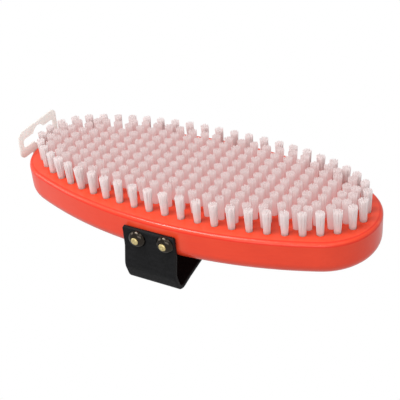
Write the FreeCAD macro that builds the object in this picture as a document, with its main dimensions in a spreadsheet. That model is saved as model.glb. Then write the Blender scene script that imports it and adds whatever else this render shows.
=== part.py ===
import FreeCAD, Part
import Sketcher
import math
import os
from FreeCAD import Vector, Rotation, Placement

# Oval hand brush with a strap over its back.
# Frame: millimetres, +Z towards the bristle tips, +X along the brush, origin at
# the centre of the flat palm face of the wooden back. The brush stands on the
# loop of its strap, so the strap lies below Z = 0. The hang tab is at the -X end.

doc = FreeCAD.newDocument("oval_brush")
sheet = doc.addObject("Spreadsheet::Sheet", "dims")

SIZES = [
    # wooden back
    ("back_half_length", 92.5), ("back_half_width", 39.75), ("back_end_radius", 27.58),
    ("back_thick", 17.7), ("face_round", 2.0), ("palm_round", 6.2),
    # tufts: bundles of nylon filament folded over an anchor and driven into blind holes
    ("hole_radius", 1.75), ("hole_deep", 6.5), ("tuft_root_radius", 1.72),
    ("tuft_tip_radius", 2.08), ("tuft_free", 11.1),
    ("pitch_long", 6.8), ("pitch_wide", 6.05),
    ("ring_half_length", 85.6), ("ring_half_width", 31.15), ("ring_power", 2.23),
    ("ring_count", 50), ("ring_start", 1.936), ("ring_swing", 1.98),
    ("centre_count", 23), ("second_count", 23), ("third_count", 23),
    ("fourth_count", 19), ("fifth_count", 13),
    # tuft anchors: short pieces of flat wire
    ("anchor_wide", 3.3), ("anchor_tall", 2.0), ("anchor_thick", 0.4), ("anchor_lift", 0.7),
    # strap
    ("strap_wide", 27.3), ("strap_thick", 2.1), ("strap_gap", 0.02), ("strap_hole_radius", 0.8),
    ("strap_shift", -1.5),
    # cup washers and nails that hold the strap
    ("nail_spacing", 14.7), ("nail_height_left", 8.3), ("nail_height_right", 9.1),
    ("nail_radius", 0.7), ("nail_long", 15.0),
    ("nail_head_radius", 1.8), ("nail_head_thick", 0.8),
    ("washer_radius", 4.4), ("washer_high", 2.2), ("washer_wall", 0.5),
    # hang tab
    ("tab_wide", 30.8), ("tab_high", 14.8), ("tab_base", 16.5), ("tab_thick", 0.8),
    ("tab_corner", 3.0), ("tab_lean", 2.5), ("slot_radius", 5.0), ("slot_half_long", 12.5),
    ("slot_half_tall", 2.45), ("slot_drop", 7.3), ("crease_height", 16.05),
    ("crease_radius", 0.42), ("stem_wide", 12.0), ("stem_low", 3.2), ("stem_top", 15.6),
    ("tack_spacing", 6.0), ("tack_height", 7.2), ("tack_radius", 0.6), ("tack_long", 9.0),
    ("tack_head_radius", 1.7), ("tack_head_thick", 0.55),
]
for row, (alias, value) in enumerate(SIZES, start=1):
    sheet.set("A%d" % row, alias)
    sheet.set("B%d" % row, repr(float(value)))
    sheet.setAlias("B%d" % row, alias)
doc.recompute()


def cell(alias):
    return float(sheet.get(alias))


def origin_plane(body, role):
    """A plane or axis of the body's own origin."""
    return [f for f in body.Origin.OriginFeatures if f.Role == role][0]


def new_body(label):
    body = doc.addObject("PartDesign::Body", label)
    body.Label = label
    body.AllowCompound = True
    return body


def new_sketch(body, name, role, offset=0.0):
    sketch = body.newObject("Sketcher::SketchObject", name)
    sketch.AttachmentSupport = [(origin_plane(body, role), "")]
    sketch.MapMode = "FlatFace"
    if offset:
        sketch.AttachmentOffset = Placement(Vector(0, 0, offset), Rotation())
    return sketch


def polygon(sketch, points):
    """Closed polygon of lines with joined corners."""
    first = sketch.GeometryCount
    n = len(points)
    for k in range(n):
        a, b = points[k], points[(k + 1) % n]
        sketch.addGeometry(Part.LineSegment(Vector(a[0], a[1], 0), Vector(b[0], b[1], 0)), False)
    for k in range(n):
        sketch.addConstraint(Sketcher.Constraint("Coincident", first + k, 2, first + (k + 1) % n, 1))
    return first


def circle(sketch, x, y, radius):
    return sketch.addGeometry(Part.Circle(Vector(x, y, 0), Vector(0, 0, 1), radius), False)


def pad(body, name, sketch, length, expression=None, midplane=False):
    f = body.newObject("PartDesign::Pad", name)
    f.Profile = sketch
    f.Length = length
    f.Midplane = midplane
    if expression:
        f.setExpression("Length", expression)
    body.Tip = f
    doc.recompute()
    return f


def pocket(body, name, sketch, length, expression=None, midplane=False):
    """A cut. Its direction is turned round if it removes nothing."""
    before = body.Shape.Volume
    f = body.newObject("PartDesign::Pocket", name)
    f.Profile = sketch
    f.Length = length
    if expression:
        f.setExpression("Length", expression)
    f.Midplane = midplane
    body.Tip = f
    doc.recompute()
    if abs(body.Shape.Volume - before) < 1e-6 or "Invalid" in f.State:
        f.Reversed = True
        doc.recompute()
    if abs(body.Shape.Volume - before) < 1e-6:
        raise RuntimeError("%s cuts nothing" % name)
    return f


def revolve(body, name, sketch):
    f = body.newObject("PartDesign::Revolution", name)
    f.Profile = sketch
    f.ReferenceAxis = (sketch, ["V_Axis"])
    f.Angle = 360.0
    body.Tip = f
    doc.recompute()
    return f


def row_pattern(body, name, originals, count_alias):
    """Repeats features along the row at the long pitch."""
    f = body.newObject("PartDesign::LinearPattern", name)
    f.Originals = originals
    f.Direction = (origin_plane(body, "X_Axis"), [""])
    f.Mode = "Extent"
    f.Length = (cell(count_alias) - 1) * cell("pitch_long")
    f.setExpression("Length", "(dims.%s - 1) * dims.pitch_long" % count_alias)
    f.Occurrences = int(cell(count_alias))
    f.setExpression("Occurrences", "dims.%s" % count_alias)
    body.Tip = f
    doc.recompute()
    return f


FACE = cell("back_thick")
ROW_COUNTS = ["fifth_count", "fourth_count", "third_count", "second_count", "centre_count",
              "second_count", "third_count", "fourth_count", "fifth_count"]
ROWS = [(k + 1, k - 4, ROW_COUNTS[k]) for k in range(9)]    # number, step from the middle, count
FILLERS = [(79.6, 0.0), (-79.6, 0.0),
           (79.3, 5.8), (79.3, -5.8), (-79.3, 5.8), (-79.3, -5.8),
           (66.0, 16.7), (66.0, -16.7), (-66.0, 16.7), (-66.0, -16.7),
           (47.8, 22.7), (47.8, -22.7), (-47.8, 22.7), (-47.8, -22.7)]


def ring_points():
    """Tuft places round the edge: a rounded oval, a little closer together at the two ends.
    Each entry is x, y and the direction along the ring in degrees."""
    a, b, p = cell("ring_half_length"), cell("ring_half_width"), cell("ring_power")
    steps = 7200
    xs, ys, run = [], [], [0.0]
    for k in range(steps + 1):
        t = -2 * math.pi * k / steps
        c, s = math.cos(t), math.sin(t)
        xs.append(a * math.copysign(abs(c) ** (2 / p), c))
        ys.append(b * math.copysign(abs(s) ** (2 / p), s))
        if k:
            run.append(run[-1] + math.hypot(xs[-1] - xs[-2], ys[-1] - ys[-2]))
    total = run[-1]
    n = int(cell("ring_count"))
    out = []
    for k in range(n):
        s = (cell("ring_start") + k * total / n - cell("ring_swing") * math.sin(4 * math.pi * k / n + 0.085)) % total
        lo, hi = 0, steps
        while hi - lo > 1:
            mid = (lo + hi) // 2
            if run[mid] <= s:
                lo = mid
            else:
                hi = mid
        w = (s - run[lo]) / max(run[hi] - run[lo], 1e-9)
        x, y = xs[lo] + w * (xs[hi] - xs[lo]), ys[lo] + w * (ys[hi] - ys[lo])
        out.append((x, y, math.degrees(math.atan2(ys[hi] - ys[lo], xs[hi] - xs[lo]))))
    return out


RING = ring_points()

# ---------------------------------------------------------------- wooden back
# Outline of four tangent arcs. The side arcs' radius follows from the other three sizes.
a_, b_, r_ = cell("back_half_length"), cell("back_half_width"), cell("back_end_radius")
big = ((a_ - r_) ** 2 + b_ ** 2 - r_ ** 2) / (2 * (b_ - r_))
cx, cy = a_ - r_, big - b_
turn = math.atan2(cy, cx)                 # direction from a side-arc centre through an end-arc centre

back = new_body("brush_back")
outline = new_sketch(back, "back_outline", "XY_Plane")
Z = Vector(0, 0, 1)
outline.addGeometry(Part.ArcOfCircle(Part.Circle(Vector(cx, 0, 0), Z, r_), -turn, turn), False)
outline.addGeometry(Part.ArcOfCircle(Part.Circle(Vector(0, -cy, 0), Z, big), turn, math.pi - turn), False)
outline.addGeometry(Part.ArcOfCircle(Part.Circle(Vector(-cx, 0, 0), Z, r_), math.pi - turn, math.pi + turn), False)
outline.addGeometry(Part.ArcOfCircle(Part.Circle(Vector(0, cy, 0), Z, big), math.pi + turn, 2 * math.pi - turn), False)
C = Sketcher.Constraint
for con in (C("Tangent", 0, 2, 1, 1), C("Tangent", 1, 2, 2, 1), C("Tangent", 2, 2, 3, 1),
            C("Coincident", 3, 2, 0, 1),
            C("PointOnObject", 0, 3, -1), C("PointOnObject", 2, 3, -1),
            C("PointOnObject", 1, 3, -2),
            C("Equal", 0, 2), C("Equal", 1, 3)):
    outline.addConstraint(con)
k = outline.addConstraint(C("Radius", 0, r_))
outline.renameConstraint(k, "end_radius")
outline.setExpression("Constraints.end_radius", "dims.back_end_radius")
k = outline.addConstraint(C("DistanceX", -1, 1, 0, 3, cx))
outline.renameConstraint(k, "end_centre")
outline.setExpression("Constraints.end_centre", "dims.back_half_length - dims.back_end_radius")
k = outline.addConstraint(C("DistanceY", 1, 3, -1, 1, cy))
outline.renameConstraint(k, "side_centre")
outline.setExpression(
    "Constraints.side_centre",
    "((dims.back_half_length - dims.back_end_radius)^2 + dims.back_half_width^2 - dims.back_end_radius^2)"
    " / (2 * (dims.back_half_width - dims.back_end_radius)) - dims.back_half_width")
doc.recompute()
slab = pad(back, "back_slab", outline, FACE, "dims.back_thick")


def edges_at(shape, z):
    return ["Edge%d" % (i + 1) for i, e in enumerate(shape.Edges)
            if abs(e.BoundBox.ZMin - z) < 1e-4 and abs(e.BoundBox.ZMax - z) < 1e-4]


top_round = back.newObject("PartDesign::Fillet", "face_edge")
top_round.Base = (slab, edges_at(slab.Shape, FACE))
top_round.Radius = cell("face_round")
top_round.setExpression("Radius", "dims.face_round")
back.Tip = top_round
doc.recompute()
low_round = back.newObject("PartDesign::Fillet", "palm_edge")
low_round.Base = (top_round, edges_at(top_round.Shape, 0.0))
low_round.Radius = cell("palm_round")
low_round.setExpression("Radius", "dims.palm_round")
back.Tip = low_round
doc.recompute()

# blind tuft holes: the ring, the fillers, then each straight row
ring_sketch = new_sketch(back, "ring_holes_sketch", "XY_Plane", FACE)
for x, y, _ in RING:
    circle(ring_sketch, x, y, cell("hole_radius"))
for x, y in FILLERS:
    circle(ring_sketch, x, y, cell("hole_radius"))
doc.recompute()
pocket(back, "ring_holes", ring_sketch, cell("hole_deep"), "dims.hole_deep")
for number, step, count in ROWS:
    n = int(cell(count))
    sk = new_sketch(back, "row_%d_hole_sketch" % number, "XY_Plane", FACE)
    circle(sk, -(n - 1) / 2 * cell("pitch_long"), step * cell("pitch_wide"), cell("hole_radius"))
    doc.recompute()
    one = pocket(back, "row_%d_hole" % number, sk, cell("hole_deep"), "dims.hole_deep")
    row_pattern(back, "row_%d_holes" % number, [one], count)

# pilot holes for the strap nails, in the two long sides
for name, side in (("front", -1), ("rear", 1)):
    # an XZ sketch faces -Y, so its offset is along -Y
    sk = new_sketch(back, "nail_holes_%s_sketch" % name, "XZ_Plane", -side * (cell("back_half_width") + 1.0))
    for end, x in (("left", -cell("nail_spacing") / 2), ("right", cell("nail_spacing") / 2)):
        circle(sk, x, cell("nail_height_" + end), cell("nail_radius"))
    doc.recompute()
    f = back.newObject("PartDesign::Pocket", "nail_holes_%s" % name)
    f.Profile = sk
    f.Length = cell("nail_long") + 1.0
    f.setExpression("Length", "dims.nail_long + 1")
    f.Reversed = side > 0
    before = back.Shape.Volume
    back.Tip = f
    doc.recompute()
    taken = before - back.Shape.Volume
    wanted = 2 * math.pi * cell("nail_radius") ** 2 * cell("nail_long")
    if abs(taken - wanted) > 0.1 * wanted:
        f.Reversed = not f.Reversed
        doc.recompute()
        taken = before - back.Shape.Volume
    if abs(taken - wanted) > 0.1 * wanted:
        raise RuntimeError("nail holes %s: %.2f of %.2f" % (name, taken, wanted))

# pilot holes for the two tacks of the hang tab, in the -X end
sk = new_sketch(back, "tack_holes_sketch", "YZ_Plane", -(cell("back_half_length") + 1.0))
for y in (-cell("tack_spacing") / 2, cell("tack_spacing") / 2):
    circle(sk, y, cell("tack_height"), cell("tack_radius"))
doc.recompute()
f = back.newObject("PartDesign::Pocket", "tack_holes")
f.Profile = sk
f.Length = cell("tack_long") + 1.0
f.setExpression("Length", "dims.tack_long + 1")
before = back.Shape.Volume
back.Tip = f
doc.recompute()
wanted = 2 * math.pi * cell("tack_radius") ** 2 * cell("tack_long")
if abs(before - back.Shape.Volume - wanted) > 0.15 * wanted:
    f.Reversed = True
    doc.recompute()
if abs(before - back.Shape.Volume - wanted) > 0.15 * wanted:
    raise RuntimeError("tack holes: %.2f of %.2f" % (before - back.Shape.Volume, wanted))

# ---------------------------------------------------------------- tufts and anchors
ROOT = FACE - cell("hole_deep")
TIP = FACE + cell("tuft_free")
LOW = ROOT + cell("anchor_lift")


def tuft_profile():
    return [(0, ROOT), (cell("tuft_root_radius"), ROOT), (cell("tuft_root_radius"), FACE),
            (cell("tuft_tip_radius"), TIP), (0, TIP)]


nodes = [back]
for number, step, count in ROWS:
    n = int(cell(count))
    # one bundle, then the row; the slot is where the filaments fold round the anchor
    body = new_body("tuft_row_%d" % number)
    sk = new_sketch(body, "tuft_%d_profile" % number, "XZ_Plane")
    polygon(sk, tuft_profile())
    doc.recompute()
    turned = revolve(body, "tuft_%d_bundle" % number, sk)
    sk = new_sketch(body, "tuft_%d_slot_sketch" % number, "XZ_Plane")
    polygon(sk, [(-2.5, LOW), (2.5, LOW), (2.5, LOW + cell("anchor_tall")), (-2.5, LOW + cell("anchor_tall"))])
    doc.recompute()
    slot = pocket(body, "tuft_%d_slot" % number, sk, cell("anchor_thick"), "dims.anchor_thick", midplane=True)
    row_pattern(body, "tuft_%d_row" % number, [turned, slot], count)
    body.setExpression("Placement.Base.x", "-(dims.%s - 1) / 2 * dims.pitch_long" % count)
    body.setExpression("Placement.Base.y", "%d * dims.pitch_wide" % step)
    nodes.append(body)

    body = new_body("anchor_row_%d" % number)
    sk = new_sketch(body, "anchor_%d_sketch" % number, "XZ_Plane")
    w = cell("anchor_wide") / 2
    polygon(sk, [(-w, LOW), (w, LOW), (w, LOW + cell("anchor_tall")), (-w, LOW + cell("anchor_tall"))])
    doc.recompute()
    plate = pad(body, "anchor_%d_plate" % number, sk, cell("anchor_thick"), "dims.anchor_thick", midplane=True)
    row_pattern(body, "anchor_%d_row" % number, [plate], count)
    body.setExpression("Placement.Base.x", "-(dims.%s - 1) / 2 * dims.pitch_long" % count)
    body.setExpression("Placement.Base.y", "%d * dims.pitch_wide" % step)
    nodes.append(body)


def bundle_shape():
    points = [Vector(x, 0, z) for x, z in tuft_profile()]
    face = Part.Face(Part.makePolygon(points + [points[0]]))
    solid = face.revolve(Vector(0, 0, 0), Vector(0, 0, 1), 360)
    cut = Part.makeBox(5.0, cell("anchor_thick"), cell("anchor_tall"),
                       Vector(-2.5, -cell("anchor_thick") / 2, LOW))
    return solid.cut(cut)


def anchor_shape():
    w, t_ = cell("anchor_wide"), cell("anchor_thick")
    return Part.makeBox(w, t_, cell("anchor_tall"), Vector(-w / 2, -t_ / 2, LOW))


def spread(label, shape, places):
    copies = []
    for x, y, angle in places:
        one = shape.copy()
        one.Placement = Placement(Vector(x, y, 0), Rotation(Vector(0, 0, 1), angle))
        copies.append(one)
    f = doc.addObject("Part::Feature", label)
    f.Label = label
    f.Shape = Part.makeCompound(copies)
    f.Placement = Placement(Vector(0, 0, 0), Rotation())
    nodes.append(f)
    return f


filler_places = [(x, y, 0.0) for x, y in FILLERS]
spread("tuft_ring", bundle_shape(), RING)
spread("tuft_fillers", bundle_shape(), filler_places)
spread("anchor_ring", anchor_shape(), RING)
spread("anchor_fillers", anchor_shape(), filler_places)

# ---------------------------------------------------------------- strap
# One band bent round under the back and nailed to both sides. Its outer line is given
# by corners and corner radii; the inner line is that line moved in by the thickness.
top = cell("back_half_width") + cell("strap_gap") + cell("strap_thick")
HALF = [  # y, z, radius of the outer line's corner; from the +Y end down to the middle
    (top, 13.2, 0.0), (top, 2.6, 5.0), (43.9, -7.4, 9.0), (40.4, -18.4, 5.2),
    (31.0, -16.0, 20.0), (0.0, -10.9, 120.0),
]
CORNERS = HALF + [(-y, z, r) for y, z, r in reversed(HALF[:-1])]


def offset_corners(corners, t_):
    """The same line moved to its inner side by t_, with each corner's radius adjusted."""
    pts = [(c[0], c[1]) for c in corners]
    dirs = []
    for k in range(len(pts) - 1):
        dx, dy = pts[k + 1][0] - pts[k][0], pts[k + 1][1] - pts[k][1]
        d = math.hypot(dx, dy)
        dirs.append((dx / d, dy / d))
    normals = [(d[1], -d[0]) for d in dirs]           # to the right of travel: inside the loop
    out = []
    for k, (x, y, r) in enumerate(corners):
        if k == 0 or k == len(corners) - 1:
            nrm = normals[0] if k == 0 else normals[-1]
            out.append((x + nrm[0] * t_, y + nrm[1] * t_, 0.0))
            continue
        (d1, d2), (n1, n2) = (dirs[k - 1], dirs[k]), (normals[k - 1], normals[k])
        cross = d1[0] * d2[1] - d1[1] * d2[0]
        px, py = x + n1[0] * t_, y + n1[1] * t_
        qx, qy = x + n2[0] * t_, y + n2[1] * t_
        s = ((qx - px) * d2[1] - (qy - py) * d2[0]) / cross
        out.append((px + d1[0] * s, py + d1[1] * s, r + t_ if cross > 0 else r - t_))
    return out


def rounded_line(corners):
    """Straight runs joined by tangent arcs, as sketch geometry."""
    geo, last = [], Vector(corners[0][0], corners[0][1], 0)
    for k in range(1, len(corners) - 1):
        p0 = Vector(corners[k - 1][0], corners[k - 1][1], 0)
        p1 = Vector(corners[k][0], corners[k][1], 0)
        p2 = Vector(corners[k + 1][0], corners[k + 1][1], 0)
        u, v = (p0 - p1).normalize(), (p2 - p1).normalize()
        half = math.acos(max(-1, min(1, u.dot(v)))) / 2
        reach = corners[k][2] / math.tan(half)
        start, end = p1 + u * reach, p1 + v * reach
        middle = p1 + (u + v).normalize() * (corners[k][2] / math.sin(half) - corners[k][2])
        geo.append(Part.LineSegment(last, start))
        geo.append(Part.Arc(start, middle, end))
        last = end
    geo.append(Part.LineSegment(last, Vector(corners[-1][0], corners[-1][1], 0)))
    return geo


outer_line = rounded_line(CORNERS)
inner_line = rounded_line(offset_corners(CORNERS, cell("strap_thick")))
strap = new_body("hand_strap")
sk = new_sketch(strap, "strap_profile", "YZ_Plane")
loop = list(outer_line)
loop.append(Part.LineSegment(outer_line[-1].EndPoint, inner_line[-1].EndPoint))
loop += list(reversed(inner_line))
loop.append(Part.LineSegment(inner_line[0].StartPoint, outer_line[0].StartPoint))
for g in loop:
    sk.addGeometry(g, False)
doc.recompute()
pad(strap, "strap_band", sk, cell("strap_wide"), "dims.strap_wide", midplane=True)
sk = new_sketch(strap, "strap_holes_sketch", "XZ_Plane")
for end, x in (("left", -cell("nail_spacing") / 2), ("right", cell("nail_spacing") / 2)):
    circle(sk, x - cell("strap_shift"), cell("nail_height_" + end), cell("strap_hole_radius"))
doc.recompute()
pocket(strap, "strap_holes", sk, 120.0, midplane=True)
strap.setExpression("Placement.Base.x", "dims.strap_shift")
nodes.append(strap)

# ---------------------------------------------------------------- washers and nails
seat = cell("back_half_width") + cell("strap_gap") + cell("strap_thick")
R, H, W = cell("washer_radius"), cell("washer_high"), cell("washer_wall")
for name, side in (("front", -1), ("rear", 1)):
    for end, sx in (("left", -1), ("right", 1)):
        turn_out = Rotation(Vector(1, 0, 0), 90 if side < 0 else -90)     # local +Z points out of the side
        at = Vector(sx * cell("nail_spacing") / 2, side * seat, cell("nail_height_" + end))

        body = new_body("cup_washer_%s_%s" % (name, end))
        sk = new_sketch(body, "washer_%s_%s_profile" % (name, end), "XZ_Plane")
        bore = cell("nail_radius") + 0.05
        outer = Part.Arc(Vector(R, 0.35, 0), Vector(R * 0.80, H * 0.72, 0), Vector(1.9, H, 0))
        inner_arc = Part.Arc(Vector(1.8, H - W, 0), Vector(R * 0.72, H * 0.50, 0), Vector(R - W, 0.0, 0))
        seq = [Part.LineSegment(Vector(R, 0, 0), outer.StartPoint), outer,
               Part.LineSegment(outer.EndPoint, Vector(bore, H, 0)),
               Part.LineSegment(Vector(bore, H, 0), Vector(bore, H - W, 0)),
               Part.LineSegment(Vector(bore, H - W, 0), inner_arc.StartPoint), inner_arc,
               Part.LineSegment(inner_arc.EndPoint, Vector(R, 0, 0))]
        for g in seq:
            sk.addGeometry(g, False)
        doc.recompute()
        revolve(body, "washer_%s_%s_cup" % (name, end), sk)
        body.Placement = Placement(at, turn_out)
        nodes.append(body)

        body = new_body("strap_nail_%s_%s" % (name, end))
        sk = new_sketch(body, "nail_%s_%s_profile" % (name, end), "XZ_Plane")
        hr, ht, nr = cell("nail_head_radius"), cell("nail_head_thick"), cell("nail_radius")
        tip = -(cell("strap_thick") + cell("strap_gap") + cell("nail_long"))
        crown = Part.Arc(Vector(hr, H + 0.35, 0), Vector(hr * 0.6, H + ht * 0.93, 0), Vector(0.55, H + ht, 0))
        seq = [Part.LineSegment(Vector(0, tip, 0), Vector(nr, tip + 2.2, 0)),
               Part.LineSegment(Vector(nr, tip + 2.2, 0), Vector(nr, H, 0)),
               Part.LineSegment(Vector(nr, H, 0), Vector(hr, H, 0)),
               Part.LineSegment(Vector(hr, H, 0), crown.StartPoint), crown,
               Part.LineSegment(crown.EndPoint, Vector(0, H + ht - 0.22, 0)),
               Part.LineSegment(Vector(0, H + ht - 0.22, 0), Vector(0, tip, 0))]
        for g in seq:
            sk.addGeometry(g, False)
        doc.recompute()
        revolve(body, "nail_%s_%s_turned" % (name, end), sk)
        body.Placement = Placement(at, turn_out)
        nodes.append(body)

# ---------------------------------------------------------------- hang tab
# A stem tacked to the end of the back, and a head with a peg slot that folds on a thin crease.
end_x = -cell("back_half_length")
t = cell("tab_thick")
crease_x = end_x - t / 2

stem = new_body("hang_tab_stem")
sk = new_sketch(stem, "stem_outline", "YZ_Plane")
w, lo_, hi_, c_ = cell("stem_wide") / 2, cell("stem_low"), cell("stem_top"), 2.0
q = c_ * (1 - math.sqrt(0.5))
corner_l = Part.Arc(Vector(-w, lo_ + c_, 0), Vector(-w + q, lo_ + q, 0), Vector(-w + c_, lo_, 0))
corner_r = Part.Arc(Vector(w - c_, lo_, 0), Vector(w - q, lo_ + q, 0), Vector(w, lo_ + c_, 0))
for g in (Part.LineSegment(Vector(-w, hi_, 0), Vector(-w, lo_ + c_, 0)), corner_l,
          Part.LineSegment(Vector(-w + c_, lo_, 0), Vector(w - c_, lo_, 0)), corner_r,
          Part.LineSegment(Vector(w, lo_ + c_, 0), Vector(w, hi_, 0)),
          Part.LineSegment(Vector(w, hi_, 0), Vector(-w, hi_, 0))):
    sk.addGeometry(g, False)
for y in (-cell("tack_spacing") / 2, cell("tack_spacing") / 2):
    circle(sk, y, cell("tack_height"), cell("tack_radius") + 0.05)
doc.recompute()
pad(stem, "stem_plate", sk, t, "dims.tab_thick", midplane=True)
stem.setExpression("Placement.Base.x", "-dims.back_half_length - dims.tab_thick / 2")
nodes.append(stem)

head = new_body("hang_tab_head")
sk = new_sketch(head, "head_outline", "YZ_Plane")
base = cell("tab_base") - cell("crease_height")           # sketch origin is on the crease
w, lo_, hi_, c_ = cell("tab_wide") / 2, base, base + cell("tab_high"), cell("tab_corner")
q = c_ * (1 - math.sqrt(0.5))


def corner(px, py, sx, sy):
    """Rounded corner at px, py, whose body lies towards sx, sy."""
    return Part.Arc(Vector(px, py + sy * c_, 0), Vector(px + sx * q, py + sy * q, 0), Vector(px + sx * c_, py, 0))


for g in (corner(-w, lo_, 1, 1), Part.LineSegment(Vector(-w + c_, lo_, 0), Vector(w - c_, lo_, 0)),
          corner(w, lo_, -1, 1), Part.LineSegment(Vector(w, lo_ + c_, 0), Vector(w, hi_ - c_, 0)),
          corner(w, hi_, -1, -1), Part.LineSegment(Vector(w - c_, hi_, 0), Vector(-w + c_, hi_, 0)),
          corner(-w, hi_, 1, -1), Part.LineSegment(Vector(-w, hi_ - c_, 0), Vector(-w, lo_ + c_, 0))):
    sk.addGeometry(g, False)
doc.recompute()
pad(head, "head_plate", sk, t, "dims.tab_thick", midplane=True)
# the peg slot: a round hole with a wing to each side
mid = hi_ - cell("slot_drop")
sr, sl, st = cell("slot_radius"), cell("slot_half_long"), cell("slot_half_tall")
jx = math.sqrt(sr ** 2 - st ** 2)
er = 1.6                                                     # corner radius of the wings' ends
eq = er * (1 - math.sqrt(0.5))
sk = new_sketch(head, "slot_outline", "YZ_Plane")
for g in (Part.Arc(Vector(-jx, mid + st, 0), Vector(0, mid + sr, 0), Vector(jx, mid + st, 0)),
          Part.LineSegment(Vector(jx, mid + st, 0), Vector(sl - er, mid + st, 0)),
          Part.Arc(Vector(sl - er, mid + st, 0), Vector(sl - eq, mid + st - eq, 0), Vector(sl, mid + st - er, 0)),
          Part.LineSegment(Vector(sl, mid + st - er, 0), Vector(sl, mid - st + er, 0)),
          Part.Arc(Vector(sl, mid - st + er, 0), Vector(sl - eq, mid - st + eq, 0), Vector(sl - er, mid - st, 0)),
          Part.LineSegment(Vector(sl - er, mid - st, 0), Vector(jx, mid - st, 0)),
          Part.Arc(Vector(jx, mid - st, 0), Vector(0, mid - sr, 0), Vector(-jx, mid - st, 0)),
          Part.LineSegment(Vector(-jx, mid - st, 0), Vector(-sl + er, mid - st, 0)),
          Part.Arc(Vector(-sl + er, mid - st, 0), Vector(-sl + eq, mid - st + eq, 0), Vector(-sl, mid - st + er, 0)),
          Part.LineSegment(Vector(-sl, mid - st + er, 0), Vector(-sl, mid + st - er, 0)),
          Part.Arc(Vector(-sl, mid + st - er, 0), Vector(-sl + eq, mid + st - eq, 0), Vector(-sl + er, mid + st, 0)),
          Part.LineSegment(Vector(-sl + er, mid + st, 0), Vector(-jx, mid + st, 0))):
    sk.addGeometry(g, False)
doc.recompute()
pocket(head, "peg_slot", sk, 4.0, midplane=True)
# the crease: a thin neck and a round bead on the hinge line, as wide as the stem
sk = new_sketch(head, "neck_sketch", "XZ_Plane")
polygon(sk, [(-0.22, 0.0), (0.22, 0.0), (0.22, base + 0.2), (-0.22, base + 0.2)])
doc.recompute()
pad(head, "crease_neck", sk, cell("stem_wide"), "dims.stem_wide", midplane=True)
sk = new_sketch(head, "bead_sketch", "XZ_Plane")
circle(sk, 0, 0, cell("crease_radius"))
doc.recompute()
pad(head, "crease_bead", sk, cell("stem_wide"), "dims.stem_wide", midplane=True)
head.Placement = Placement(Vector(crease_x, 0, cell("crease_height")), Rotation(Vector(0, 1, 0), cell("tab_lean")))
head.setExpression("Placement.Base.x", "-dims.back_half_length - dims.tab_thick / 2")
head.setExpression("Placement.Base.z", "dims.crease_height")
nodes.append(head)

for name, side in (("front", -1), ("rear", 1)):
    body = new_body("tab_tack_%s" % name)
    sk = new_sketch(body, "tack_%s_profile" % name, "XZ_Plane")
    tr, th, tl = cell("tack_radius"), cell("tack_head_thick"), cell("tack_long")
    tip = -(t + tl)
    crown = Part.Arc(Vector(cell("tack_head_radius"), 0.2, 0), Vector(1.2, th * 0.82, 0), Vector(0.4, th, 0))
    for g in (Part.LineSegment(Vector(0, tip, 0), Vector(tr, tip + 1.8, 0)),
              Part.LineSegment(Vector(tr, tip + 1.8, 0), Vector(tr, 0, 0)),
              Part.LineSegment(Vector(tr, 0, 0), Vector(cell("tack_head_radius"), 0, 0)),
              Part.LineSegment(Vector(cell("tack_head_radius"), 0, 0), crown.StartPoint), crown,
              Part.LineSegment(Vector(0.4, th, 0), Vector(0, th, 0)),
              Part.LineSegment(Vector(0, th, 0), Vector(0, tip, 0))):
        sk.addGeometry(g, False)
    doc.recompute()
    revolve(body, "tack_%s_turned" % name, sk)
    body.Placement = Placement(Vector(end_x - t, side * cell("tack_spacing") / 2, cell("tack_height")),
                               Rotation(Vector(0, 1, 0), -90))
    nodes.append(body)

# ---------------------------------------------------------------- check and write
doc.recompute()
for obj in doc.Objects:
    if "Invalid" in obj.State or "Error" in obj.State:
        raise RuntimeError("%s is %s" % (obj.Name, obj.State))
labels = [n.Label for n in nodes]
if len(set(labels)) != len(labels):
    raise RuntimeError("two sub-parts share a label")
for n in nodes:
    if n.Shape.isNull() or not n.Shape.isValid():
        raise RuntimeError("%s has no valid shape" % n.Label)
os.makedirs("parts", exist_ok=True)
for n in nodes:
    n.Shape.exportStep(os.path.join("parts", n.Label + ".step"))
    bb = n.Shape.BoundBox
    print("%-24s solids %3d  volume %9.2f  x %7.2f %7.2f  y %7.2f %7.2f  z %7.2f %7.2f" % (
        n.Label, len(n.Shape.Solids), n.Shape.Volume, bb.XMin, bb.XMax, bb.YMin, bb.YMax, bb.ZMin, bb.ZMax))
print("nodes", len(nodes), "tufts", sum(len(n.Shape.Solids) for n in nodes if n.Label.startswith("tuft")))
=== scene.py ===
import bpy
import math
import numpy as np
from mathutils import Matrix, Vector


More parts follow.
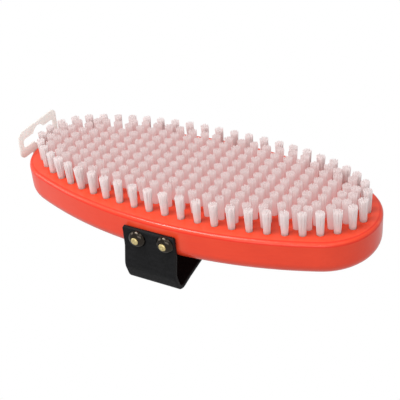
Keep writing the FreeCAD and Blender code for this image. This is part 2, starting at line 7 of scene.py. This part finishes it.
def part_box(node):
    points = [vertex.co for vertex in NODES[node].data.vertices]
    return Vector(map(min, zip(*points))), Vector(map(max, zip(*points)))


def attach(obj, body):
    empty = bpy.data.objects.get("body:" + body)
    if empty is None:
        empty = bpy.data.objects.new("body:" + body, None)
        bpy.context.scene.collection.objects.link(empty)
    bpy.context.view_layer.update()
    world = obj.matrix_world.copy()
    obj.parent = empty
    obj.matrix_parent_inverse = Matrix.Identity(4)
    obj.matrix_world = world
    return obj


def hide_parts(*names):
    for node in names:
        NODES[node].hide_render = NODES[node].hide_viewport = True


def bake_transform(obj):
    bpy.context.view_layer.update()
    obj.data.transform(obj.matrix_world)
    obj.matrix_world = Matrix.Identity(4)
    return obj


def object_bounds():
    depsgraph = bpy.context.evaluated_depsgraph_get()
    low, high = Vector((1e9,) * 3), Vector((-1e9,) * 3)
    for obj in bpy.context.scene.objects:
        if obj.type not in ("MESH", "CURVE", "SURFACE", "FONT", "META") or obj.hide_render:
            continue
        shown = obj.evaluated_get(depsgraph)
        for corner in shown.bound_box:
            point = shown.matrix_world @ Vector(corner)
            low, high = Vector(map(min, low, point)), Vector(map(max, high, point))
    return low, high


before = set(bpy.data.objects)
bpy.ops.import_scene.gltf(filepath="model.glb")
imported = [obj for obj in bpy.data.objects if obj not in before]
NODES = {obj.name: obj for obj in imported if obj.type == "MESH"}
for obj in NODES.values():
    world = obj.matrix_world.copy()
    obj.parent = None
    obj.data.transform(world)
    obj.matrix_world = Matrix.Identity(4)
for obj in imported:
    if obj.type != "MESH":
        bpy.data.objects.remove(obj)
cad_low, cad_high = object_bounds()
MM = 0.001
rng = np.random.default_rng(41)

scene = bpy.context.scene
scene.view_settings.view_transform = "Standard"


# ------------------------------------------------------------------ node helpers
def lin(r, g, b):
    """sRGB 0-255 to linear."""
    out = []
    for c in (r, g, b):
        c = c / 255.0
        out.append(c / 12.92 if c <= 0.04045 else ((c + 0.055) / 1.055) ** 2.4)
    return (out[0], out[1], out[2], 1.0)


class Mat:
    """A material and short names for the nodes it is made of."""

    def __init__(self, name):
        self.m = bpy.data.materials.new(name)
        self.m.use_nodes = True
        self.t = self.m.node_tree
        self.t.nodes.clear()
        self.out = self.t.nodes.new("ShaderNodeOutputMaterial")

    def node(self, kind, **values):
        n = self.t.nodes.new(kind)
        for k, v in values.items():
            if k in n.inputs:
                if hasattr(v, "is_linked") or isinstance(v, bpy.types.NodeSocket):
                    self.t.links.new(v, n.inputs[k])
                else:
                    n.inputs[k].default_value = v
            else:
                setattr(n, k, v)
        return n

    def link(self, a, b):
        self.t.links.new(a, b)

    def coords(self):
        """The row frame in millimetres."""
        c = self.node("ShaderNodeTexCoord")
        s = self.node("ShaderNodeVectorMath", operation="SCALE")
        self.link(c.outputs["Object"], s.inputs[0])
        s.inputs["Scale"].default_value = 1000.0
        return s.outputs[0]

    def noise(self, vec, scale, detail=3.0, rough=0.5, distortion=0.0, stretch=None):
        if stretch:
            mp = self.node("ShaderNodeMapping")
            self.link(vec, mp.inputs["Vector"])
            mp.inputs["Scale"].default_value = stretch
            vec = mp.outputs[0]
        n = self.node("ShaderNodeTexNoise")
        self.link(vec, n.inputs["Vector"])
        n.inputs["Scale"].default_value = scale
        n.inputs["Detail"].default_value = detail
        n.inputs["Roughness"].default_value = rough
        n.inputs["Distortion"].default_value = distortion
        return n.outputs["Fac"]

    def ramp(self, fac, stops, mode="LINEAR"):
        r = self.node("ShaderNodeValToRGB")
        r.color_ramp.interpolation = mode
        e = r.color_ramp.elements
        while len(e) > 2:
            e.remove(e[-1])
        for k, (p, c) in enumerate(stops):
            el = e[k] if k < 2 else e.new(p)
            el.position = p
            el.color = c if len(c) == 4 else (*c, 1.0)
        self.link(fac, r.inputs["Fac"])
        return r.outputs["Color"]

    def mix(self, fac, a, b, mode="MIX"):
        n = self.node("ShaderNodeMix", data_type="RGBA", blend_type=mode)
        self.put(fac, n.inputs[0])
        self.put(a, n.inputs[6])
        self.put(b, n.inputs[7])
        return n.outputs[2]

    def math(self, op, a, b=0.0, clamp=False):
        n = self.node("ShaderNodeMath", operation=op, use_clamp=clamp)
        self.put(a, n.inputs[0])
        self.put(b, n.inputs[1])
        return n.outputs[0]

    def remap(self, v, a0, a1, b0=0.0, b1=1.0):
        n = self.node("ShaderNodeMapRange")
        self.put(v, n.inputs["Value"])
        for k, x in (("From Min", a0), ("From Max", a1), ("To Min", b0), ("To Max", b1)):
            n.inputs[k].default_value = x
        return n.outputs["Result"]

    def put(self, v, socket):
        if isinstance(v, bpy.types.NodeSocket):
            self.t.links.new(v, socket)
        else:
            socket.default_value = v

    def bump(self, height, distance, strength=1.0, normal=None):
        n = self.node("ShaderNodeBump")
        n.inputs["Strength"].default_value = strength
        n.inputs["Distance"].default_value = distance
        self.link(height, n.inputs["Height"])
        if normal is not None:
            self.link(normal, n.inputs["Normal"])
        return n.outputs[0]

    def principled(self, **values):
        n = self.node("ShaderNodeBsdfPrincipled")
        for k, v in values.items():
            self.put(v, n.inputs[k.replace("_", " ")])
        return n.outputs[0]

    def surface(self, shader):
        self.link(shader, self.out.inputs["Surface"])
        return self.m


# ------------------------------------------------------------------ materials
def lacquer():
    m = Mat("orange_red_lacquer")
    p = m.coords()
    geo = m.node("ShaderNodeNewGeometry")
    # pooled colour: the sprayed coat is a little thicker in places
    cloud = m.noise(p, 0.035, 3.0, 0.55)
    col = m.mix(m.remap(cloud, 0.35, 0.68), lin(216, 57, 29), lin(222, 63, 34))
    # the grain of the wood under the coat, along X
    grain = m.noise(p, 0.9, 4.0, 0.6, 0.6, stretch=(0.035, 0.9, 0.9))
    col = m.mix(m.remap(grain, 0.42, 0.75, 0.0, 0.16), col, lin(200, 44, 22))
    # dust nibs and speckle round the drilled holes
    speck = m.noise(p, 1.7, 2.0, 0.7)
    col = m.mix(m.remap(speck, 0.66, 0.80, 0.0, 0.25), col, lin(236, 96, 62))
    # painted shade: the coat is painted darker in two bands, set by the tilt of the surface, where the rounded rim
    # starts and ends; they stand in for the dark the rounding reflects
    nrm = m.node("ShaderNodeSeparateXYZ")
    m.link(geo.outputs["Normal"], nrm.inputs[0])
    rim_top_shade = m.ramp(nrm.outputs["Z"], [(0.0, (0, 0, 0)), (0.86, (0, 0, 0)), (0.95, (1, 1, 1)), (0.985, (1, 1, 1)),
                                      (0.997, (0, 0, 0))])
    rim_foot_shade = m.ramp(nrm.outputs["Z"], [(0.0, (0, 0, 0)), (0.06, (0, 0, 0)), (0.14, (1, 1, 1)), (0.34, (1, 1, 1)),
                                     (0.50, (0, 0, 0))])
    col = m.mix(m.math("MULTIPLY", rim_top_shade, 0.75), col, lin(206, 40, 20))
    col = m.mix(m.math("MULTIPLY", rim_foot_shade, 0.90), col, lin(212, 38, 16))
    # worn thin on sharp edges
    edge = m.remap(geo.outputs["Pointiness"], 0.52, 0.60, 0.0, 0.30)
    col = m.mix(edge, col, lin(236, 104, 72))
    peel = m.noise(p, 0.32, 2.0, 0.5)
    fine = m.noise(p, 1.4, 2.0, 0.5)
    n1 = m.bump(peel, 0.00010, 0.55)
    n2 = m.bump(grain, 0.00004, 0.5, n1)
    n3 = m.bump(fine, 0.00003, 0.35, n2)
    rough = m.remap(m.noise(p, 0.08, 3.0), 0.3, 0.7, 0.30, 0.40)
    return m.surface(m.principled(Base_Color=col, Roughness=rough, Normal=n3, Coat_Weight=0.3,
                                  Coat_Roughness=0.10, IOR=1.45, Specular_IOR_Level=0.30))


def nylon():
    m = Mat("nylon_filament")
    p = m.coords()
    tone = m.node("ShaderNodeAttribute", attribute_name="tone").outputs["Fac"]
    up = m.node("ShaderNodeAttribute", attribute_name="along").outputs["Fac"]
    streak = m.noise(p, 1.1, 2.0, 0.6, stretch=(2.0, 2.0, 0.25))
    col = m.mix(tone, lin(247, 240, 239), lin(254, 251, 251))
    col = m.mix(m.remap(streak, 0.45, 0.72, 0.0, 0.25), col, lin(232, 229, 226))
    # painted reflection: low down, and more so in the middle of the field, the clear filaments are tinted with the
    # red of the lacquer round them; right at the roots they are painted darker as shade
    warm = m.node("ShaderNodeAttribute", attribute_name="inside").outputs["Fac"]
    col = m.mix(m.math("MULTIPLY", warm, 0.20), col, lin(255, 214, 212))
    col = m.mix(m.remap(up, 0.55, 0.0, 0.0, 0.30), col, lin(252, 190, 180))
    col = m.mix(m.remap(up, 0.14, 0.0, 0.0, 0.45), col, lin(196, 164, 150))
    # the cut ends are rougher than the drawn sides, and painted a little darker as shade so that the lit tops stand
    # out less
    tip = m.remap(up, 0.965, 1.0)
    col = m.mix(m.math("MULTIPLY", tip, 0.7), col, lin(238, 226, 225))
    rough = m.mix(tip, (0.30, 0.30, 0.30, 1), (0.6, 0.6, 0.6, 1))
    # light that wanders between the filaments of a crowded field reaches them from every side;
    # a weak even glow stands in for it, and the direct share is that much lower
    glow = m.mix(m.remap(up, 0.35, 0.95), lin(238, 174, 172), lin(214, 191, 189))
    col = m.mix(m.math("ADD", 0.05, m.math("MULTIPLY", warm, 0.33)), col, (0, 0, 0, 1))
    body = m.principled(Base_Color=col, Roughness=m.math("MULTIPLY", rough, 1.0), IOR=1.45, Specular_IOR_Level=0.4,
                        Emission_Color=glow,
                        Emission_Strength=m.math("ADD", 0.02, m.math("MULTIPLY", warm, 0.585)))
    through = m.node("ShaderNodeBsdfTranslucent")
    m.link(col, through.inputs["Color"])
    mix = m.node("ShaderNodeMixShader")
    mix.inputs[0].default_value = 0.45
    m.link(body, mix.inputs[1])
    m.link(through.outputs[0], mix.inputs[2])
    # clear nylon lets much of the light on to the filaments behind
    path = m.node("ShaderNodeLightPath")
    lit = m.math("MAXIMUM", path.outputs["Is Shadow Ray"], path.outputs["Is Diffuse Ray"])
    clear = m.node("ShaderNodeBsdfTransparent")
    clear.inputs["Color"].default_value = (1.0, 0.945, 0.94, 1)
    mix2 = m.node("ShaderNodeMixShader")
    m.link(m.math("MULTIPLY", lit, m.math("ADD", 0.64, m.math("MULTIPLY", warm, 0.18))), mix2.inputs[0])
    m.link(mix.outputs[0], mix2.inputs[1])
    m.link(clear.outputs[0], mix2.inputs[2])
    return m.surface(mix2.outputs[0])


def leather():
    m = Mat("black_strap_leather")
    p = m.coords()
    cells = m.node("ShaderNodeTexVoronoi", feature="DISTANCE_TO_EDGE")
    warp = m.noise(p, 0.8, 2.0)
    v = m.node("ShaderNodeVectorMath", operation="MULTIPLY_ADD")
    m.link(warp, v.inputs[0])
    v.inputs[1].default_value = (0.8, 0.8, 0.8)
    m.link(p, v.inputs[2])
    m.link(v.outputs[0], cells.inputs["Vector"])
    cells.inputs["Scale"].default_value = 1.25
    pebble = m.remap(cells.outputs["Distance"], 0.0, 0.22)
    fine = m.noise(p, 3.5, 3.0, 0.6)
    crease = m.noise(p, 0.22, 3.0, 0.6, 0.4, stretch=(0.5, 1.0, 1.6))
    col = m.mix(pebble, lin(12, 12, 13), lin(24, 24, 25))
    col = m.mix(m.remap(crease, 0.45, 0.75, 0.0, 0.5), col, lin(33, 33, 35))
    # painted shade: the inner face of the strap, turned to the brush, is painted near black
    side = m.node("ShaderNodeAttribute", attribute_name="face_out").outputs["Fac"]
    col = m.mix(m.remap(side, 0.0, 1.0, 0.9, 0.0), col, lin(5, 4, 4))
    # painted highlight: the rounded long edges and the cut ends of the strap are painted lighter
    cut = m.node("ShaderNodeAttribute", attribute_name="cut_edge").outputs["Fac"]
    col = m.mix(m.math("MULTIPLY", cut, 0.6), col, lin(30, 29, 30))
    n1 = m.bump(pebble, 0.00008, 0.55)
    n2 = m.bump(fine, 0.00005, 0.45, n1)
    n3 = m.bump(crease, 0.0004, 0.25, n2)
    rough = m.remap(fine, 0.3, 0.7, 0.50, 0.66)
    return m.surface(m.principled(Base_Color=col, Roughness=rough, Normal=n3, IOR=1.45,
                                  Specular_IOR_Level=0.11))


def black_nickel():
    m = Mat("black_nickel_plate")
    p = m.coords()
    scuff = m.noise(p, 1.8, 4.0, 0.65, 0.3)
    col = m.mix(m.remap(scuff, 0.35, 0.75), lin(50, 45, 40), lin(66, 60, 54))
    rough = m.remap(scuff, 0.35, 0.75, 0.07, 0.13)
    n = m.bump(m.noise(p, 0.9, 2.0), 0.00010, 0.09)
    return m.surface(m.principled(Base_Color=col, Metallic=1.0, Roughness=rough, Normal=n))


def brass():
    m = Mat("brass_nail_head")
    p = m.coords()
    tarnish = m.noise(p, 1.3, 4.0, 0.6, 0.5)
    col = m.mix(m.remap(tarnish, 0.4, 0.72), lin(224, 208, 154), lin(188, 163, 106))
    n = m.bump(m.noise(p, 5.0, 3.0), 0.00006, 0.4)
    rough = m.remap(tarnish, 0.3, 0.7, 0.30, 0.48)
    return m.surface(m.principled(Base_Color=col, Metallic=1.0, Roughness=rough, Normal=n))


def anchor_metal():
    m = Mat("anchor_flat_wire")
    p = m.coords()
    drawn = m.noise(p, 3.0, 3.0, 0.6, 0.0, stretch=(0.3, 4.0, 4.0))
    col = m.mix(drawn, lin(196, 172, 112), lin(224, 204, 146))
    return m.surface(m.principled(Base_Color=col, Metallic=1.0, Roughness=0.34, Normal=m.bump(drawn, 0.00003, 0.4)))


def tack_steel():
    m = Mat("zinc_tack")
    p = m.coords()
    spangle = m.noise(p, 2.4, 4.0, 0.6)
    col = m.mix(spangle, lin(168, 170, 172), lin(204, 205, 206))
    return m.surface(m.principled(Base_Color=col, Metallic=1.0, Roughness=m.remap(spangle, 0.3, 0.7, 0.26, 0.42),
                                  Normal=m.bump(spangle, 0.00004, 0.3)))


def frosted():
    m = Mat("frosted_tab_plastic")
    p = m.coords()
    flow = m.noise(p, 0.16, 3.0, 0.5, 0.5)
    frost = m.noise(p, 4.5, 3.0, 0.6)
    col = m.mix(m.remap(flow, 0.35, 0.7), lin(250, 247, 243), lin(254, 253, 251))
    # painted reflection and shade: the tab is painted pinker and darker below, where the red back shows in it
    place = m.node("ShaderNodeSeparateXYZ")
    m.link(p, place.inputs[0])
    col = m.mix(m.remap(place.outputs["Z"], 17.5, 21.5, 1.0, 0.0), col, lin(235, 213, 207))
    n = m.bump(frost, 0.00003, 0.4)
    body = m.principled(Base_Color=col, Roughness=m.remap(frost, 0.3, 0.7, 0.32, 0.46), Normal=n, IOR=1.45,
                        Specular_IOR_Level=0.4)
    through = m.node("ShaderNodeBsdfTranslucent")
    m.link(col, through.inputs["Color"])
    mix = m.node("ShaderNodeMixShader")
    mix.inputs[0].default_value = 0.45
    m.link(body, mix.inputs[1])
    m.link(through.outputs[0], mix.inputs[2])
    clear = m.node("ShaderNodeBsdfTransparent")
    clear.inputs["Color"].default_value = lin(250, 248, 246)
    mix2 = m.node("ShaderNodeMixShader")
    mix2.inputs[0].default_value = 0.30
    m.link(mix.outputs[0], mix2.inputs[1])
    m.link(clear.outputs[0], mix2.inputs[2])
    return m.surface(mix2.outputs[0])


LACQUER, NYLON, LEATHER = lacquer(), nylon(), leather()
NICKEL, BRASS, ANCHOR, STEEL, TAB = black_nickel(), brass(), anchor_metal(), tack_steel(), frosted()


def dress(name, material):
    o = NODES[name]
    o.data.materials.clear()
    o.data.materials.append(material)
    return o


# ------------------------------------------------------------------ mesh helpers
def mesh_object(name, verts, faces, material, smooth=True):
    me = bpy.data.meshes.new(name)
    me.from_pydata([tuple(v) for v in verts], [], [tuple(f) for f in faces])
    me.materials.append(material)
    me.polygons.foreach_set("use_smooth", [smooth] * len(me.polygons))
    me.update()
    o = bpy.data.objects.new(name, me)
    scene.collection.objects.link(o)
    return o


def point_values(o, name, values):
    a = o.data.attributes.new(name, "FLOAT", "POINT")
    a.data.foreach_set("value", np.asarray(values, np.float32))


# ------------------------------------------------------------------ bristles
# Every tuft is a bundle of filaments, packed in its hole and flared towards the tips.
FACE_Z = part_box("brush_back")[1][2]
TIP_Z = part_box("tuft_row_5")[1][2]
FREE = (TIP_Z - FACE_Z) / MM
ROOT_R = 1.72 * MM
FIL_R = 0.255 * MM


def tuft_places(name):
    """Centres of the separate bundles in a CAD tuft node."""
    me = NODES[name].data
    co = np.empty(len(me.vertices) * 3, np.float32)
    me.vertices.foreach_get("co", co)
    co = co.reshape(-1, 3)
    top = np.unique(np.round(co[co[:, 2] > TIP_Z - 0.02 * MM][:, :2] / MM, 3), axis=0)
    free = np.ones(len(top), bool)
    out = []
    while free.any():
        group = [int(np.argmax(free))]
        free[group[0]] = False
        k = 0
        while k < len(group):
            near = np.nonzero(free & (np.hypot(*(top - top[group[k]]).T) < 1.0))[0]
            free[near] = False
            group += near.tolist()
            k += 1
        pts = top[group]
        out.append((pts.min(0) + pts.max(0)) / 2 * MM)
    return np.array(out)


def packed_ring():
    """Hexagonal packing of filaments inside the hole: 1 + 6 + 12 + 18."""
    pts = [(0.0, 0.0)]
    for ring in (1, 2, 3):
        for side in range(6):
            for k in range(ring):
                a0, a1 = math.radians(60 * side), math.radians(60 * side + 120)
                x = ring * math.cos(a0) + k * math.cos(a1)
                y = ring * math.sin(a0) + k * math.sin(a1)
                pts.append((x, y))
    p = np.array(pts)
    r = np.hypot(p[:, 0], p[:, 1])
    # round the hexagon off so that the bundle fills a round hole
    grow = np.where(r > 0, np.maximum(1.0, 1.0 + 0.10 * (np.ceil(r - 1e-6) - r)), 1.0)
    return p * grow[:, None] / 3.0


PACK = packed_ring()
SIDES = 6
# height (mm below the face, then as a share of the free length) and share of the flare
LEVELS = [(-3.6, 0.0), (0.0, 0.0), (0.33, 0.30), (0.70, 0.68), (0.985, 0.98)]


def filament_bundle(places, name, inside):
    verts, faces, tone, along = [], [], [], []
    base = 0
    ang = np.arange(SIDES) * 2 * math.pi / SIDES
    for cx, cy in places:
        turn = rng.uniform(0, math.pi)
        ct, st = math.cos(turn), math.sin(turn)
        lean = rng.normal(0, 0.16, 2) * MM
        flare = rng.uniform(1.29, 1.42)
        high = rng.normal(-0.12, 0.10)
        shade = rng.uniform(0.25, 0.75)
        for px, py in PACK:
            x0, y0 = px * ct - py * st, px * st + py * ct
            j = rng.normal(0, 0.035, 2)
            x0, y0 = x0 + j[0] * 0.4, y0 + j[1] * 0.4
            r0 = math.hypot(x0, y0)
            if r0 > 0.985:
                x0, y0 = x0 * 0.985 / r0, y0 * 0.985 / r0
            root = np.array([x0, y0]) * (ROOT_R - FIL_R)
            out = root * flare + lean + rng.normal(0, 0.10, 2) * MM
            bow = rng.normal(0, 0.06, 2) * MM
            top = FREE + high + rng.normal(0, 0.13)
            top = min(top, FREE + 0.22)
            t_f = float(np.clip(shade + rng.normal(0, 0.22), 0, 1))
            rr = FIL_R * rng.uniform(0.93, 1.05)
            rings = []
            for z, w in LEVELS:
                zz = z if z < 0 else z * FREE
                if z > 0.9:
                    zz = top - 0.16
                c = root + (out - root) * w + bow * math.sin(math.pi * max(0.0, z))
                rings.append((c, zz, rr))
            rings.append((out, top, rr * 0.70))
            for c, zz, r_ in rings:
                for a in ang:
                    verts.append((cx + c[0] + r_ * math.cos(a), cy + c[1] + r_ * math.sin(a), FACE_Z + zz * MM))
                    tone.append(t_f)
                    along.append(max(0.0, min(1.0, zz / FREE)))
            n = len(rings)
            for k in range(n - 1):
                for s in range(SIDES):
                    a0, a1 = base + k * SIDES + s, base + k * SIDES + (s + 1) % SIDES
                    faces.append((a0, a1, a1 + SIDES, a0 + SIDES))
            faces.append(tuple(base + (n - 1) * SIDES + s for s in range(SIDES)))
            faces.append(tuple(base + s for s in reversed(range(SIDES))))
            base += n * SIDES
    o = mesh_object(name, verts, faces, NYLON)
    point_values(o, "tone", tone)
    point_values(o, "along", along)
    point_values(o, "inside", [inside] * len(along))
    return o


tuft_nodes = sorted(n for n in NODES if n.startswith("tuft_"))
total = 0
for n in tuft_nodes:
    places = tuft_places(n)
    total += len(places)
    inside = 0.0 if n == "tuft_ring" else 0.6 if n == "tuft_fillers" else 1.0
    piece = filament_bundle(places, n.replace("tuft_", "bristles_"), inside)
    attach(piece, "root")
    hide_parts(n)
print("tufts", total)

# ------------------------------------------------------------------ strap
slow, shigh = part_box("hand_strap")
T = 2.1
TOP = shigh[2] / MM
MID_X = (slow[0] + shigh[0]) / 2
OUT_Y = 41.87
HALF = [(OUT_Y, TOP, 0.0), (OUT_Y, 2.6, 5.0), (43.9, -7.4, 9.0), (40.4, -18.4, 5.2),
        (31.0, -16.0, 20.0), (0.0, -10.9, 120.0)]
CORNERS = HALF + [(-y, z, r) for y, z, r in reversed(HALF[:-1])]


def rounded_path(corners, step=0.8):
    """Dense points along straight runs and tangent arcs."""
    pts = [np.array(corners[0][:2])]
    for k in range(1, len(corners) - 1):
        p0, p1, p2 = (np.array(corners[k + d][:2]) for d in (-1, 0, 1))
        u, v = (p0 - p1) / np.linalg.norm(p0 - p1), (p2 - p1) / np.linalg.norm(p2 - p1)
        half = math.acos(float(np.clip(u @ v, -1, 1))) / 2
        r = corners[k][2]
        reach = r / math.tan(half)
        a, b = p1 + u * reach, p1 + v * reach
        centre = p1 + (u + v) / np.linalg.norm(u + v) * r / math.sin(half)
        n = max(2, int(np.linalg.norm(a - pts[-1]) / step))
        last = pts[-1].copy()
        for i in range(1, n + 1):
            pts.append(last + (a - last) * i / n)
        a0 = math.atan2(*(a - centre)[::-1])
        a1 = math.atan2(*(b - centre)[::-1])
        d = (a1 - a0 + math.pi) % (2 * math.pi) - math.pi
        n = max(6, int(abs(d) * r / (step * 0.6)))
        for i in range(1, n + 1):
            t = a0 + d * i / n
            pts.append(centre + r * np.array([math.cos(t), math.sin(t)]))
    last, end = pts[-1].copy(), np.array(corners[-1][:2])
    n = max(2, int(np.linalg.norm(end - last) / step))
    for i in range(1, n + 1):
        pts.append(last + (end - last) * i / n)
    return np.array(pts)


def make_strap():
    path = rounded_path(CORNERS)
    d = np.gradient(path, axis=0)
    d /= np.linalg.norm(d, axis=1)[:, None]
    inward = np.c_[d[:, 1], -d[:, 0]]
    half_w = (shigh[0] - slow[0]) / 2 / MM
    # cross-section, going round: x across the strap, depth from the outer face
    ring = []
    er = 0.55
    def arc(cx_, cd, a0, a1, n=4):
        for i in range(n + 1):
            a = math.radians(a0 + (a1 - a0) * i / n)
            ring.append((cx_ + er * math.cos(a), cd + er * math.sin(a)))
    nx = 15
    for i in range(nx + 1):
        ring.append((-half_w + er + (2 * half_w - 2 * er) * i / nx, 0.0))
    arc(half_w - er, er, -90, 0)
    arc(half_w - er, T - er, 0, 90)
    for i in range(nx + 1):
        ring.append((half_w - er - (2 * half_w - 2 * er) * i / nx, T))
    arc(-half_w + er, T - er, 90, 180)
    arc(-half_w + er, er, 180, 270)
    clean = [ring[0]]
    for q in ring[1:]:
        if math.hypot(q[0] - clean[-1][0], q[1] - clean[-1][1]) > 1e-4:
            clean.append(q)
    if math.hypot(clean[0][0] - clean[-1][0], clean[0][1] - clean[-1][1]) < 1e-4:
        clean.pop()
    ring = clean
    m = len(ring)
    verts, out_face, cut = [], [], []
    n = len(path)
    # the cut ends are rounded like the long edges
    for k in range(n):
        end = min(k, n - 1 - k)
        for x, dep in ring:
            inset = 0.0
            if end == 0:
                dep2 = min(max(dep, er), T - er)
                x2 = min(max(x, -half_w + er), half_w - er)
            else:
                dep2, x2 = dep, x
            p = path[k] + inward[k] * dep2
            verts.append((MID_X + x2 * MM, p[0] * MM, p[1] * MM))
            out_face.append(1.0 if dep < T * 0.5 else 0.0)
            cut.append(1.0 if abs(x) > half_w - er * 0.9 or end < 1 else 0.0)
    faces = []
    for k in range(n - 1):
        for s in range(m):
            s2 = (s + 1) % m
            faces.append((k * m + s, k * m + s2, (k + 1) * m + s2, (k + 1) * m + s))
    faces.append(tuple(reversed(range(m))))
    faces.append(tuple((n - 1) * m + s for s in range(m)))
    o = mesh_object("strap_band", verts, faces, LEATHER)
    point_values(o, "face_out", out_face)
    point_values(o, "cut_edge", cut)
    return o


strap = make_strap()
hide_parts("hand_strap")
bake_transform(strap)

# ------------------------------------------------------------------ carried-over CAD pieces
dress("brush_back", LACQUER)
for n in NODES:
    if n.startswith("anchor_"):
        dress(n, ANCHOR)
    elif n.startswith("cup_washer"):
        dress(n, NICKEL)
    elif n.startswith("strap_nail"):
        dress(n, BRASS)
    elif n.startswith("tab_tack"):
        dress(n, STEEL)
    elif n.startswith("hang_tab"):
        dress(n, TAB)

# ------------------------------------------------------------------ floor, light, camera
FLOOR_Z = cad_low[2]


def seen_or_lit(m_tree, seen, lit, mirrored):
    """One strength for what is seen, one for the light it gives, one for its reflection."""
    path = m_tree.nodes.new("ShaderNodeLightPath")
    g = m_tree.nodes.new("ShaderNodeMapRange")
    g.inputs["To Min"].default_value = lit
    g.inputs["To Max"].default_value = mirrored
    m_tree.links.new(path.outputs["Is Glossy Ray"], g.inputs["Value"])
    r = m_tree.nodes.new("ShaderNodeMapRange")
    m_tree.links.new(g.outputs["Result"], r.inputs["To Min"])
    r.inputs["To Max"].default_value = seen
    m_tree.links.new(path.outputs["Is Camera Ray"], r.inputs["Value"])
    return r.outputs["Result"]


def floor():
    """A pale light table: the brush stands on it without a cast shadow."""
    m = Mat("pale_floor")
    e = m.node("ShaderNodeEmission")
    e.inputs["Color"].default_value = (1, 1, 1, 1)
    m.link(seen_or_lit(m.t, 1.0, 0.52, 0.76), e.inputs["Strength"])
    m.surface(e.outputs[0])
    me = bpy.data.meshes.new("floor")
    s = 6.0
    me.from_pydata([(-s, -s, FLOOR_Z), (s, -s, FLOOR_Z), (s, s, FLOOR_Z), (-s, s, FLOOR_Z)], [], [(0, 1, 2, 3)])
    me.materials.append(m.m)
    o = bpy.data.objects.new("floor", me)
    scene.collection.objects.link(o)


floor()
world = bpy.data.worlds.new("studio")
scene.world = world
world.use_nodes = True
wt = world.node_tree
wt.nodes.clear()
bg = wt.nodes.new("ShaderNodeBackground")
bg.inputs["Color"].default_value = (1, 1, 1, 1)
wt.links.new(seen_or_lit(wt, 1.0, 0.62, 0.66), bg.inputs["Strength"])
wt.links.new(bg.outputs[0], wt.nodes.new("ShaderNodeOutputWorld").inputs["Surface"])


def area(name, at, look, size, power, color=(1, 1, 1)):
    l = bpy.data.lights.new(name, "AREA")
    l.shape = "RECTANGLE"
    l.size, l.size_y = size
    l.energy = power
    l.color = color
    o = bpy.data.objects.new(name, l)
    o.location = at
    o.rotation_mode = "QUATERNION"
    o.rotation_quaternion = (Vector(look) - Vector(at)).to_track_quat("-Z", "Y")
    scene.collection.objects.link(o)
    return o


area("rim_strip", (-0.03, -0.62, 0.78), (0, 0, 0.015), (1.04, 0.05), 1.1)
area("key_overhead", (-0.30, -0.40, 0.95), (0, 0, 0.01), (0.58, 0.44), 7.0)
area("key_core", (-0.40, -0.34, 0.82), (0, 0, 0.01), (0.17, 0.17), 1.2)
area("fill_front", (0.35, -1.0, 0.35), (0, 0, 0.0), (0.9, 0.5), 3.6)
area("fill_right", (0.55, -0.35, 0.85), (0, 0, 0.01), (0.5, 0.5), 1.0)
area("rim_left", (-0.95, -0.35, 0.35), (0, 0, 0.01), (0.5, 0.5), 2.4)

# the camera, from the view the brush is seen in
AZ, EL, ROLL = math.radians(31.50), math.radians(33.16), math.radians(-5.00)
DIST, TX, TY, FOCAL = 431.66, -2.65, 9.28, 900.29
back = Vector((math.sin(AZ) * math.cos(EL), -math.cos(AZ) * math.cos(EL), math.sin(EL)))
right = Vector((math.cos(AZ), math.sin(AZ), 0.0))
up = back.cross(right)
s_, c_ = math.sin(ROLL), math.cos(ROLL)
r2, u2 = c_ * right + s_ * up, -s_ * right + c_ * up
place = (r2 * -TX + u2 * -TY + back * DIST) * MM + Vector((0, 0, 16.8 * MM))
cam_data = bpy.data.cameras.new("camera")
cam_data.lens = FOCAL / 400.0 * 36.0
cam_data.sensor_width = 36.0
cam_data.clip_start, cam_data.clip_end = 0.01, 50.0
cam = bpy.data.objects.new("camera", cam_data)
cam.matrix_world = Matrix((
    (r2.x, u2.x, back.x, place.x),
    (r2.y, u2.y, back.y, place.y),
    (r2.z, u2.z, back.z, place.z),
    (0, 0, 0, 1)))
scene.collection.objects.link(cam)
scene.camera = cam
